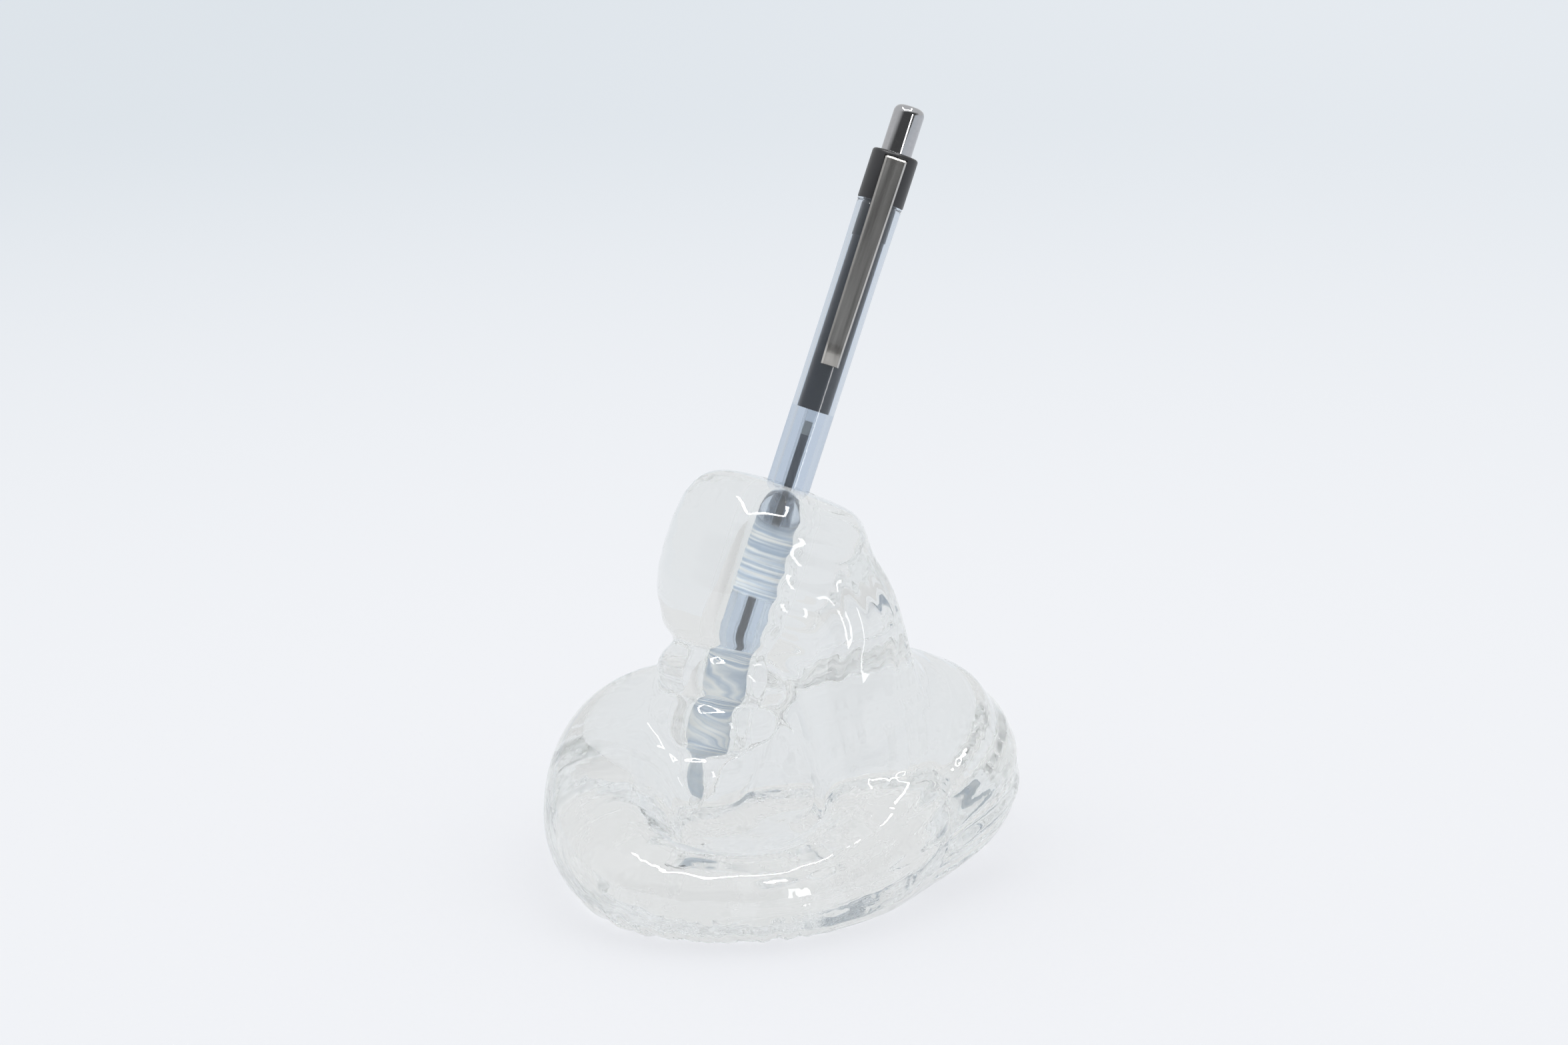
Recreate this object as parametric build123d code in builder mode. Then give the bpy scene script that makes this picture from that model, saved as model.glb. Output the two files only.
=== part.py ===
"""Hand-formed glass pen stand holding a retractable clear-barrel pen, in millimetres, +Z up.

The stand is one piece of clear glass: a rope of soft glass wound round a mandrel as a leaning neck,
let down the right side as a ramp and laid round the foot as many-sided ropes.
The pen is an assembly: nose, barrel, collar, clip, button, click mechanism, spring and refill.
The origin is on the table, at the middle of the base. +X is to the right and +Y to the back.
"""

import os
from math import cos, pi, radians, sin, sqrt, tan

from build123d import *

# Lean of the bore and of the pen standing in it, and where the pen's nose stands
lean_right = 18.2
lean_back = 10.0
nose_x = -18.8
nose_y = 7.0
nose_z = 16.0

# Glass neck, along the bore from the pen's nose: radius and height of each ring, from foot to lip
neck_sides = 20
neck_rings = (
    (8.0, -11.0),
    (12.0, 31.0),
    (17.2, 33.6),
    (19.9, 38.5),
    (20.8, 46.0),
    (20.5, 55.0),
    (18.6, 61.0),
    (14.5, 64.4),
)

# Wound turns of the neck under the smooth top band
coil_rope_radius = 5.0
coil_turn_height = 10.9
coil_turns = 4
coil_start_height = -7.0
coil_foot_radius = 5.6
coil_top_radius = 12.6
coil_flare = 1.6
coil_sides = 8
arcs_per_turn = 2

# Ropes laid round the foot: x, y and rope radius of each section that rests on the table
base_sink = 1.2
rope_sides = 16
rope_steps = 2
base_route = (
    (18.0, -17.0, 12.0),
    (3.0, -31.8, 9.4),
    (-14.0, -34.3, 9.1),
    (-29.0, -27.0, 10.6),
    (-34.4, -3.0, 14.3),
    (-26.5, 21.0, 18.8),
    (-5.0, 32.5, 17.5),
    (11.0, 33.0, 12.5),
)
lobe_route = (
    (-12.0, 30.0, 12.5),
    (6.0, 33.0, 18.0),
    (22.5, 26.5, 20.6),
    (30.0, 9.0, 19.3),
    (26.0, -5.0, 13.5),
    (17.0, -16.0, 9.0),
)

# Ramp of glass down the right side, and the rope's way out of it: x, y, z and rope radius
ramp_route = (
    (5.0, 13.0, 62.0, 11.0),
    (9.5, 10.0, 54.0, 13.5),
    (13.0, 7.5, 43.0, 13.5),
    (16.0, 3.5, 32.0, 13.5),
    (20.0, -3.0, 21.0, 13.5),
    (21.0, -9.0, 14.5, 9.5),
)
toe_route = (
    (19.0, 5.0, 28.0, 10.5),
    (24.0, -5.0, 17.0, 12.5),
)
pool_height = 10.0
pool_radius = 30.0
pool_sides = 16

# Bore for the pen, and the pit under the pen's nose
bore_gap = 1.3
bore_seat_gap = 0.3
pit_depth = 4.5

# Pen, measured along its axis from the nose
nose_length = 9.0
barrel_length = 116.7
collar_length = 10.4
button_showing = 9.9
barrel_diameter = 9.0
barrel_top_diameter = 9.4
barrel_flare_height = 112.0
barrel_bore = 7.2
front_bore = 6.0
collar_diameter = 9.6
collar_edge = 0.35
collar_spigot = 7.7
sleeve_showing = 44.2
fit_gap = 0.03

nose_tip_diameter = 3.4
nose_rim_diameter = 8.8
nose_hole = 2.6
nose_spigot = 6.0
spring_seat_height = 4.8
spring_bore = 4.6

# Click mechanism
click_travel = 6.0
button_diameter = 6.4
button_wall = 0.5
button_crown = 1.2
running_gap = 0.06
button_floor_gap = 0.6
plunger_plug = 7.5
plunger_core_diameter = 4.7
fin_diameter = 5.9
fin_count = 4
fin_angle = 36.0
fin_slant = 25.0
sleeve_diameter = 6.7
sleeve_bore = 6.1
rib_bore = 4.9
rib_angle = 36.0
rib_length = 15.0
rotor_fin_length = 4.0
rotor_rise = 1.0
rotor_skirt = 4.0
crown_tooth_depth = 0.9
crown_gap = 0.25
tube_socket = 3.0

# Refill
point_recess = 3.0
point_tip_diameter = 0.9
point_cone_length = 3.0
point_diameter = 2.3
point_length = 6.0
point_stem_diameter = 1.5
point_stem_length = 3.0
ball_diameter = 0.7
ball_proud = 0.25
holder_diameter = 2.4
holder_flange_height = 20.0
holder_flange_diameter = 4.0
holder_flange_thickness = 1.5
holder_spigot = 4.5
ink_channel = 0.8
tube_diameter = 3.0
tube_bore = 1.8
ink_top = 76.2
follower_length = 2.8

# Return spring
spring_diameter = 3.5
spring_wire = 0.4
spring_turns = 6
spring_end_gap = 0.05
wire_sides = 4

# Pocket clip
clip_length = 43.9
clip_top_width = 4.5
clip_end_width = 3.7
clip_thickness = 0.7
clip_stand_off = 0.2
clip_touch_gap = 0.3
clip_touch_height = 3.4
clip_lip_rise = 0.9
clip_bend = 0.6
clip_dimple_drop = 14.0
clip_tab_depth = 0.8
clip_tab_drop = 1.4
slot_gap = 0.15

os.makedirs("parts", exist_ok=True)

# Directions that the pen and the bore share
nose_end = Vector(nose_x, nose_y, nose_z)
pen_up = Vector(tan(radians(lean_right)), tan(radians(lean_back)), 1).normalized()
clip_out = (Vector(0, -1, 0) + pen_up * pen_up.Y).normalized()
pen_across = pen_up.cross(clip_out)
pen_axis = Axis(nose_end, pen_up)
pen_profile = Plane(origin=nose_end, x_dir=clip_out, z_dir=clip_out.cross(pen_up))

# Heights along the pen that several pieces share
collar_low = nose_length + barrel_length
collar_top = collar_low + collar_length
button_top = collar_top + button_showing
spigot_low = collar_low - collar_spigot
sleeve_low = collar_low - sleeve_showing
button_low = spigot_low + click_travel + button_floor_gap
rib_low = spigot_low - rib_length
rotor_fin_low = rib_low + rotor_rise
rotor_fin_top = rotor_fin_low + rotor_fin_length
crown_low = rotor_fin_top + crown_gap
rotor_low = rotor_fin_low - rotor_skirt
tube_top = rotor_low + tube_socket
flange_top = holder_flange_height + holder_flange_thickness
holder_top = flange_top + holder_spigot
point_base = point_recess + point_length
stem_top = point_base + point_stem_length


def round_pen(direction, turn):
    """Direction turned about the pen's axis by an angle in degrees."""
    return direction.rotate(Axis((0, 0, 0), pen_up), turn)


def pen_plane(height, turn=0):
    """Plane square to the pen at a height above its nose, with X turned away from the clip."""
    return Plane(origin=nose_end + pen_up * height, x_dir=round_pen(clip_out, turn), z_dir=pen_up)


def finish(builder, name):
    """Label a finished piece and write it under the name of its node."""
    builder.part.label = name
    export_step(builder.part, f"parts/{name}.step")


def biarc(start, start_heading, end, end_heading):
    """Two arcs that leave start and reach end along the given headings."""
    chord = end - start
    both = start_heading + end_heading
    turn = 2 * (1 - start_heading.dot(end_heading))
    reach = (sqrt(chord.dot(both) ** 2 + turn * chord.dot(chord)) - chord.dot(both)) / turn
    joint = (start + end + (start_heading - end_heading) * reach) * 0.5
    joint_heading = (chord - both * reach).normalized()
    TangentArc(start, joint, tangent=start_heading)
    TangentArc(joint, end, tangent=joint_heading)


def wind(place, turns, per_turn):
    """Biarcs through a helix that is given as a function of the turn."""
    step = 1 / per_turn
    nudge = step / 500
    spots = [i * step for i in range(turns * per_turn + 1)]
    headings = [(place(t + nudge) - place(t - nudge)).normalized() for t in spots]
    for i in range(turns * per_turn):
        biarc(place(spots[i]), headings[i], place(spots[i + 1]), headings[i + 1])


def least_gap(place, turns, thickness, per_turn=24):
    """Least clear distance between points of a wound tube that are half a turn or more apart."""
    spots = [place(i / per_turn) for i in range(turns * per_turn + 1)]
    far = [
        (a - b).length
        for i, a in enumerate(spots)
        for b in spots[i + per_turn // 2 :]
    ]
    return min(far) - thickness


def eased(route, steps):
    """Route with more sections in each span, on a smooth line through the sections that it is given by."""
    last = len(route) - 1
    fine = []
    for i in range(last):
        before, start, end, after = (route[min(max(j, 0), last)] for j in range(i - 1, i + 3))
        for k in range(steps):
            t = k / steps
            fine.append(
                tuple(
                    b
                    + t * (c - a) / 2
                    + t**2 * (2 * a - 5 * b + 4 * c - d) / 2
                    + t**3 * (3 * b - a - 3 * c + d) / 2
                    for a, b, c, d in zip(before, start, end, after)
                )
            )
    return fine + [route[-1]]


def rope_sections(route):
    """Plane and radius of each section of a rope laid along a route of centres."""
    route = eased(route, rope_steps)
    centres = [Vector(x, y, z) for x, y, z, radius in route]
    last = len(centres) - 1
    for i, (x, y, z, radius) in enumerate(route):
        heading = (centres[min(i + 1, last)] - centres[max(i - 1, 0)]).normalized()
        outward = Vector(0, 0, 1).cross(heading)
        yield Plane(origin=centres[i], x_dir=outward, z_dir=heading), radius


def resting(route):
    """Route whose sections stand on the table, sunk a little so that the foot can be ground flat."""
    return tuple((x, y, radius - base_sink, radius) for x, y, radius in route)


# Neck: foot, shoulder under the band, bulging band and rounded lip
neck_length = neck_rings[-1][1]
with BuildPart() as neck:
    for radius, height in neck_rings:
        with BuildSketch(pen_plane(height)):
            RegularPolygon(radius, neck_sides)
    loft(ruled=True)


def coil_place(turn):
    """Centre of the wound rope: a helix about the bore whose radius grows upwards."""
    rise = max(turn / coil_turns, 0) ** coil_flare
    radius = coil_foot_radius + (coil_top_radius - coil_foot_radius) * rise
    out = clip_out * cos(2 * pi * turn) + pen_across * sin(2 * pi * turn)
    return nose_end + pen_up * (coil_start_height + coil_turn_height * turn) + out * radius


# Wound turns of the neck, as one rope
with BuildPart() as coil:
    with BuildLine() as coil_path:
        wind(coil_place, coil_turns, arcs_per_turn)
    with BuildSketch(Plane(origin=coil_path.wire() @ 0, z_dir=coil_path.wire() % 0)):
        RegularPolygon(coil_rope_radius, coil_sides)
    sweep()

coil_gap = least_gap(coil_place, coil_turns, 2 * coil_rope_radius)
print(f"least gap between turns of the glass rope: {coil_gap:.2f} mm")

# Ropes of the foot and the ramp, each lofted through its sections in the order that the glass was laid
with BuildPart() as base_rope:
    for plane, radius in rope_sections(toe_route + resting(base_route)):
        with BuildSketch(plane):
            RegularPolygon(radius, rope_sides)
    loft(ruled=True)

with BuildPart() as right_lobe:
    for plane, radius in rope_sections(resting(lobe_route)):
        with BuildSketch(plane):
            RegularPolygon(radius, rope_sides)
    loft(ruled=True)

with BuildPart() as ramp:
    for plane, radius in rope_sections(ramp_route):
        with BuildSketch(plane):
            RegularPolygon(radius, rope_sides)
    loft(ruled=True)

# Glass stand: the ropes melted into one, with a pool between them, a flat foot and the bore
bore_radius = barrel_diameter / 2 + bore_gap
seat_radius = nose_tip_diameter / 2 + bore_seat_gap
with BuildPart() as glass_stand:
    with BuildSketch(Plane.XY.offset(-base_sink)):
        RegularPolygon(pool_radius, pool_sides)
    extrude(amount=pool_height + base_sink)
    add(base_rope.part)
    add(right_lobe.part)
    add(ramp.part)
    add(neck.part)
    add(coil.part)
    with BuildSketch(pen_profile):
        with BuildLine():
            Polyline(
                (0, -pit_depth),
                (seat_radius, -pit_depth),
                (seat_radius, 0),
                (bore_radius, nose_length),
                (bore_radius, 2 * neck_length),
                (0, 2 * neck_length),
                close=True,
            )
        make_face()
    revolve(axis=pen_axis, mode=Mode.SUBTRACT)
    split(bisect_by=Plane.XY, keep=Keep.TOP)
finish(glass_stand, "glass_stand")

# Nose cone: a turned tip with a spigot in the barrel and the spring's seat inside
nose_fit = front_bore / 2 - fit_gap
with BuildPart() as nose_cone:
    with BuildSketch(pen_profile):
        with BuildLine():
            Polyline(
                (nose_hole / 2, 0),
                (nose_tip_diameter / 2, 0),
                (nose_rim_diameter / 2, nose_length),
                (nose_fit, nose_length),
                (nose_fit, nose_length + nose_spigot),
                (spring_bore / 2, nose_length + nose_spigot),
                (spring_bore / 2, spring_seat_height),
                (nose_hole / 2, spring_seat_height),
                close=True,
            )
        make_face()
    revolve(axis=pen_axis)
finish(nose_cone, "nose_cone")

# Barrel: a clear tube, a little flared under the collar, with a step that carries the sleeve
with BuildPart() as barrel:
    with BuildSketch(pen_profile):
        with BuildLine():
            Polyline(
                (front_bore / 2, nose_length),
                (barrel_diameter / 2, nose_length),
                (barrel_diameter / 2, barrel_flare_height),
                (barrel_top_diameter / 2, collar_low),
                (barrel_bore / 2, collar_low),
                (barrel_bore / 2, sleeve_low),
                (front_bore / 2, sleeve_low),
                close=True,
            )
        make_face()
    revolve(axis=pen_axis)
finish(barrel, "barrel")

# Collar: a moulded ring with a spigot in the barrel, the button's guide and the clip's slot
guide_radius = button_diameter / 2 + running_gap
collar_radius = collar_diameter / 2
tab_middle = collar_top - clip_tab_drop
tab_inner = collar_radius - clip_tab_depth
spigot_fit = barrel_bore / 2 - fit_gap
with BuildPart() as collar:
    with BuildSketch(pen_profile):
        with BuildLine():
            Polyline(
                (guide_radius, spigot_low),
                (spigot_fit, spigot_low),
                (spigot_fit, collar_low),
                (collar_radius, collar_low),
                (collar_radius, collar_top - collar_edge),
                (collar_radius - collar_edge, collar_top),
                (guide_radius, collar_top),
                close=True,
            )
        make_face()
    revolve(axis=pen_axis)
    with BuildSketch(pen_plane(tab_middle)):
        with Locations((collar_radius, 0)):
            Rectangle(2 * (clip_tab_depth + slot_gap), clip_top_width + 2 * slot_gap)
    extrude(amount=clip_thickness / 2 + slot_gap, both=True, mode=Mode.SUBTRACT)
finish(collar, "collar")

# Pocket clip: a sprung strip that hooks into the collar, runs down the barrel and ends in a lip
clip_arm = collar_radius + clip_stand_off + clip_thickness / 2
clip_end = tab_middle + clip_thickness / 2 - clip_length
clip_touch = barrel_diameter / 2 + clip_touch_gap + clip_thickness / 2
clip_lip = clip_touch + clip_lip_rise
with BuildPart() as pocket_clip:
    with BuildSketch(pen_profile):
        with BuildLine():
            FilletPolyline(
                (tab_inner, tab_middle),
                (clip_arm, tab_middle),
                (clip_arm, collar_top - clip_dimple_drop),
                (clip_touch, clip_end + clip_touch_height),
                (clip_lip, clip_end),
                radius=clip_bend,
            )
        trace(line_width=clip_thickness)
    extrude(amount=clip_top_width, both=True)
    with BuildSketch(Plane(origin=nose_end, x_dir=pen_across, z_dir=clip_out)):
        with BuildLine():
            Polyline(
                (-clip_top_width / 2, collar_top),
                (clip_top_width / 2, collar_top),
                (clip_end_width / 2, clip_end - clip_thickness),
                (-clip_end_width / 2, clip_end - clip_thickness),
                close=True,
            )
        make_face()
    extrude(amount=2 * collar_diameter, mode=Mode.INTERSECT)
finish(pocket_clip, "pocket_clip")

# Push button: a drawn metal cap with a rounded crown
button_radius = button_diameter / 2
button_bore = button_radius - button_wall
with BuildPart() as push_button:
    with BuildSketch(pen_profile):
        with BuildLine():
            Polyline(
                (0, button_top - button_wall),
                (button_bore, button_top - button_wall),
                (button_bore, button_low),
                (button_radius, button_low),
                (button_radius, button_top - button_crown),
                (button_radius - button_crown / 3, button_top - button_crown / 3),
                (button_radius - button_crown, button_top),
                (0, button_top),
                close=True,
            )
        make_face()
    revolve(axis=pen_axis)
finish(push_button, "push_button")


def fin_outline(outer, spread):
    """Edges of a sector of a disc, spread evenly to both sides of X."""
    half = radians(spread / 2)
    upper = (outer * cos(half), outer * sin(half))
    lower = (outer * cos(half), -outer * sin(half))
    Line((0, 0), lower)
    ThreePointArc(lower, (outer, 0), upper)
    Line(upper, (0, 0))


fin_step = 360 / fin_count

# Plunger: plugs into the button, is guided by its fins between the ribs and ends in crown teeth
with BuildPart() as button_plunger:
    with BuildSketch(pen_plane(button_low)):
        Circle(button_bore - fit_gap)
    extrude(amount=plunger_plug)
    with BuildSketch(pen_plane(crown_low)):
        Circle(plunger_core_diameter / 2)
    extrude(amount=button_low - crown_low)
    for i in range(fin_count):
        with BuildSketch(pen_plane(crown_low, i * fin_step)):
            with BuildLine():
                fin_outline(fin_diameter / 2, fin_angle)
            make_face()
        extrude(amount=button_low - crown_low)
    for i in range(2 * fin_count):
        notch_turn = (i + 0.5) * fin_step / 2
        notch_plane = Plane(
            origin=nose_end + pen_up * crown_low,
            x_dir=round_pen(pen_across, notch_turn),
            z_dir=round_pen(clip_out, notch_turn),
        )
        with BuildSketch(notch_plane):
            with BuildLine():
                Polyline(
                    (-crown_tooth_depth, 0),
                    (0, crown_tooth_depth),
                    (crown_tooth_depth, 0),
                    close=True,
                )
            make_face()
        extrude(amount=fin_diameter, mode=Mode.SUBTRACT)
finish(button_plunger, "button_plunger")

# Cam sleeve: the dark tube inside the barrel, with ribs that guide the fins
with BuildPart() as cam_sleeve:
    with BuildSketch(pen_plane(sleeve_low)):
        Circle(sleeve_diameter / 2)
        Circle(sleeve_bore / 2, mode=Mode.SUBTRACT)
    extrude(amount=spigot_low - sleeve_low)
    for i in range(fin_count):
        with BuildSketch(pen_plane(rib_low, (i + 0.5) * fin_step)):
            with BuildLine():
                fin_outline((sleeve_bore + sleeve_diameter) / 4, rib_angle)
            make_face()
            Circle(rib_bore / 2, mode=Mode.SUBTRACT)
        extrude(amount=rib_length)
finish(cam_sleeve, "cam_sleeve")

# Index rotor: finned cam with slanted tops, carried on the refill's end
fin_depth = (fin_diameter - plunger_core_diameter) / 2
fin_middle = (fin_diameter + plunger_core_diameter) / 4
fin_drop = fin_diameter / 2 * sin(radians(fin_angle / 2)) * tan(radians(fin_slant))
with BuildPart() as index_rotor:
    with BuildSketch(pen_plane(rotor_low)):
        Circle(plunger_core_diameter / 2)
    extrude(amount=rotor_fin_top - rotor_low)
    for i in range(fin_count):
        with BuildSketch(pen_plane(rotor_fin_low, i * fin_step)):
            with BuildLine():
                fin_outline(fin_diameter / 2, fin_angle)
            make_face()
        extrude(amount=rotor_fin_length)
        fin_out = round_pen(clip_out, i * fin_step)
        fin_tilt = pen_up.rotate(Axis((0, 0, 0), fin_out), fin_slant)
        slant_middle = nose_end + pen_up * (rotor_fin_top - fin_drop) + fin_out * fin_middle
        with BuildSketch(Plane(origin=slant_middle, x_dir=fin_out, z_dir=fin_tilt)):
            Rectangle(fin_depth, fin_diameter)
        extrude(amount=rotor_fin_length, mode=Mode.SUBTRACT)
    with BuildSketch(pen_plane(rotor_low)):
        Circle(tube_diameter / 2 + fit_gap)
    extrude(amount=tube_socket, mode=Mode.SUBTRACT)
finish(index_rotor, "index_rotor")

# Refill tube
with BuildPart() as refill_tube:
    with BuildSketch(pen_plane(flange_top)):
        Circle(tube_diameter / 2)
        Circle(tube_bore / 2, mode=Mode.SUBTRACT)
    extrude(amount=tube_top - flange_top)
finish(refill_tube, "refill_tube")

# Ink and the follower that seals it
ink_radius = tube_bore / 2 - fit_gap
with BuildPart() as ink_column:
    with BuildSketch(pen_plane(holder_top)):
        Circle(ink_radius)
    extrude(amount=ink_top - holder_top)
finish(ink_column, "ink_column")

with BuildPart() as ink_follower:
    with BuildSketch(pen_plane(ink_top)):
        Circle(ink_radius)
    extrude(amount=follower_length)
finish(ink_follower, "ink_follower")

# Tip holder: carries the point, has the flange that the spring pushes, plugs into the tube
with BuildPart() as tip_holder:
    with BuildSketch(pen_profile):
        with BuildLine():
            Polyline(
                (ink_channel / 2, stem_top),
                (point_stem_diameter / 2 + fit_gap, stem_top),
                (point_stem_diameter / 2 + fit_gap, point_base),
                (holder_diameter / 2, point_base),
                (holder_diameter / 2, holder_flange_height),
                (holder_flange_diameter / 2, holder_flange_height),
                (holder_flange_diameter / 2, flange_top),
                (ink_radius, flange_top),
                (ink_radius, holder_top),
                (ink_channel / 2, holder_top),
                close=True,
            )
        make_face()
    revolve(axis=pen_axis)
finish(tip_holder, "tip_holder")

# Writing point with the socket of its ball
ball_radius = ball_diameter / 2
ball_height = point_recess - ball_proud + ball_radius
ball_centre = nose_end + pen_up * ball_height
socket_radius = ball_radius + running_gap / 2
socket_floor = ball_height + socket_radius
with BuildPart() as writing_point:
    with BuildSketch(pen_profile):
        with BuildLine():
            Polyline(
                (0, socket_floor),
                (socket_radius, socket_floor),
                (socket_radius, point_recess),
                (point_tip_diameter / 2, point_recess),
                (point_diameter / 2, point_recess + point_cone_length),
                (point_diameter / 2, point_base),
                (point_stem_diameter / 2, point_base),
                (point_stem_diameter / 2, stem_top),
                (0, stem_top),
                close=True,
            )
        make_face()
    revolve(axis=pen_axis)
finish(writing_point, "writing_point")

with BuildPart() as writing_ball:
    with Locations(ball_centre):
        Sphere(ball_radius)
finish(writing_ball, "writing_ball")

# Return spring between the nose's seat and the holder's flange
spring_low = spring_seat_height + spring_wire / 2 + spring_end_gap
spring_high = holder_flange_height - spring_wire / 2 - spring_end_gap
spring_radius = (spring_diameter - spring_wire) / 2


def spring_place(turn):
    """Centre of the spring's wire: an even helix about the refill."""
    out = clip_out * cos(2 * pi * turn) + pen_across * sin(2 * pi * turn)
    height = spring_low + (spring_high - spring_low) * turn / spring_turns
    return nose_end + pen_up * height + out * spring_radius


with BuildPart() as return_spring:
    with BuildLine() as spring_path:
        wind(spring_place, spring_turns, arcs_per_turn)
    with BuildSketch(Plane(origin=spring_path.wire() @ 0, z_dir=spring_path.wire() % 0)):
        RegularPolygon(spring_wire / 2, wire_sides)
    sweep()
finish(return_spring, "return_spring")

spring_gap = least_gap(spring_place, spring_turns, spring_wire)
print(f"least gap between turns of the spring: {spring_gap:.2f} mm")
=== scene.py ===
# %% [markdown]
# A hand-formed clear glass pen stand with a retractable clear-barrel pen standing in it.
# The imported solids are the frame: every piece made here goes where they are, in metres, +Z up.

# %% Load the frame
from math import cos, pi, radians, sin, tan

import bpy
import numpy as np
from mathutils import Matrix, Vector


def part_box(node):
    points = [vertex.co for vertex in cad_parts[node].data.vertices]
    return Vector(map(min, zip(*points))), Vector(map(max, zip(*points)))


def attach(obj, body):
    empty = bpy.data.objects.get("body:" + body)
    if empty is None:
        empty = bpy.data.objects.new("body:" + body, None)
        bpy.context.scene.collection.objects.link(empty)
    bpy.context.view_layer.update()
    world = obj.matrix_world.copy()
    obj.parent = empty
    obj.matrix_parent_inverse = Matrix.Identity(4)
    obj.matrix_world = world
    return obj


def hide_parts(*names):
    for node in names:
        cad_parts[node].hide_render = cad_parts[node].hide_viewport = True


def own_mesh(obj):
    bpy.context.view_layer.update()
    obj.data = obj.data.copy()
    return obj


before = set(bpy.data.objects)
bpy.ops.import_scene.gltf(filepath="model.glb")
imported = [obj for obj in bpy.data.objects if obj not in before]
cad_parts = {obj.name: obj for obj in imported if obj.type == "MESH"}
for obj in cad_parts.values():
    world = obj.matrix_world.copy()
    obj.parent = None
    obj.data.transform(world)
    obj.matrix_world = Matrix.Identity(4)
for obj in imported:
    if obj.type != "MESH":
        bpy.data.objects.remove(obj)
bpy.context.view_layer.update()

mm = 0.001
scene = bpy.context.scene
scene.view_settings.view_transform = "Standard"

# %% [markdown]
# The camera stands about half a metre in front of the stand and a little above it, and looks down by
# 14 degrees. It could be set by eye, but the pen's two straight sides and the stand's line on the
# table fix it better. The lens is long, so the glass is hardly distorted.

# %% Camera
camera_lens = bpy.data.cameras.new("view")
camera_lens.sensor_width = 36
camera_lens.lens = 65.2
camera = bpy.data.objects.new("view", camera_lens)
camera.location = (0.4 * mm, -547.7 * mm, 210.3 * mm)
camera.rotation_euler = (radians(90 - 14), 0, 0)
scene.collection.objects.link(camera)
scene.camera = camera
print("camera at", [round(c, 4) for c in camera.location])

# %% [markdown]
# Node trees could be linked socket by socket, but sums read best as sums. Socket wraps one output of
# a node, and arithmetic on it adds Math nodes. Board adds every other node, settings first and then
# sockets. Both work for materials, the world and Geometry Nodes.


# %% Sockets as numbers
class Socket:
    """Output of a node. Arithmetic on it adds Math nodes to the same board."""

    def __init__(self, board, plug):
        self.board = board
        self.plug = plug

    def sum(self, operation, first, second):
        return self.board.add("ShaderNodeMath", {"operation": operation}, {0: first, 1: second})

    def __add__(self, other):
        return self.sum("ADD", self, other)

    def __sub__(self, other):
        return self.sum("SUBTRACT", self, other)

    def __rsub__(self, other):
        return self.sum("SUBTRACT", other, self)

    def __mul__(self, other):
        return self.sum("MULTIPLY", self, other)

    def __truediv__(self, other):
        return self.sum("DIVIDE", self, other)

    def __rtruediv__(self, other):
        return self.sum("DIVIDE", other, self)

    def __pow__(self, other):
        return self.sum("POWER", self, other)

    __radd__ = __add__
    __rmul__ = __mul__


class Board:
    """Node tree that is being filled."""

    def __init__(self, tree):
        self.tree = tree

    def add(self, kind, settings=None, sockets=None, out=0):
        """New node: its settings are set first, then its sockets, and one output comes back."""
        node = self.tree.nodes.new(kind)
        for name, value in (settings or {}).items():
            setattr(node, name, value)
        for name, value in (sockets or {}).items():
            if isinstance(value, Socket):
                self.tree.links.new(value.plug, node.inputs[name])
            else:
                node.inputs[name].default_value = value
        return Socket(self, node.outputs[out]) if node.outputs else node

    def sine(self, angle):
        return self.add("ShaderNodeMath", {"operation": "SINE"}, {0: angle})

    def cosine(self, angle):
        return self.add("ShaderNodeMath", {"operation": "COSINE"}, {0: angle})

    def ease(self, value, start, end):
        """0 before start, 1 after end, smooth between."""
        settings = {"interpolation_type": "SMOOTHSTEP"}
        return self.add("ShaderNodeMapRange", settings, {0: value, 1: start, 2: end})

    def blend(self, factor, first, second):
        """Mix of two colours. Inputs 6 and 7 and output 2 are the Mix node's colours."""
        first, second = (c if isinstance(c, Socket) else (*c, 1.0) for c in (first, second))
        sockets = {0: factor, 6: first, 7: second}
        return self.add("ShaderNodeMix", {"data_type": "RGBA"}, sockets, out=2)

    def noise(self, where, scale, detail=2.0, stretch=(1, 1, 1)):
        """Cloudy numbers between 0 and 1, finer along the axes whose stretch is larger."""
        placed = self.add("ShaderNodeMapping", None, {"Vector": where, "Scale": stretch})
        sockets = {"Vector": placed, "Scale": scale, "Detail": detail}
        return self.add("ShaderNodeTexNoise", None, sockets)

    def bump(self, height, strength, distance):
        sockets = {"Height": height, "Strength": strength, "Distance": distance}
        return self.add("ShaderNodeBump", None, sockets)


def new_finish(name, **constants):
    """Material with a bare board: its board, its Object coordinates and its Principled node."""
    material = bpy.data.materials.new(name)
    material.use_nodes = True
    board = Board(material.node_tree)
    shader = material.node_tree.nodes["Principled BSDF"]
    for socket, value in constants.items():
        shader.inputs[socket.replace("_", " ")].default_value = value
    where = board.add("ShaderNodeTexCoord", out="Object")
    return material, board, where, shader


def feed(board, shader, **sockets):
    """Link what varies over the surface to the shader."""
    for name, value in sockets.items():
        board.tree.links.new(value.plug, shader.inputs[name.replace("_", " ")])


def parts_of(board, vector):
    """The three parts of a vector."""
    split = board.add("ShaderNodeSeparateXYZ", None, {0: vector}).plug.node
    return [Socket(board, plug) for plug in split.outputs]


def layered(board, base, coat, cover):
    """Mix of two shaders by a cover that varies over the surface, as the material's surface."""
    sockets = {0: cover, 1: Socket(board, base.outputs[0]), 2: coat}
    mix = board.add("ShaderNodeMixShader", None, sockets)
    board.tree.links.new(mix.plug, board.tree.nodes["Material Output"].inputs["Surface"])


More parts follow.
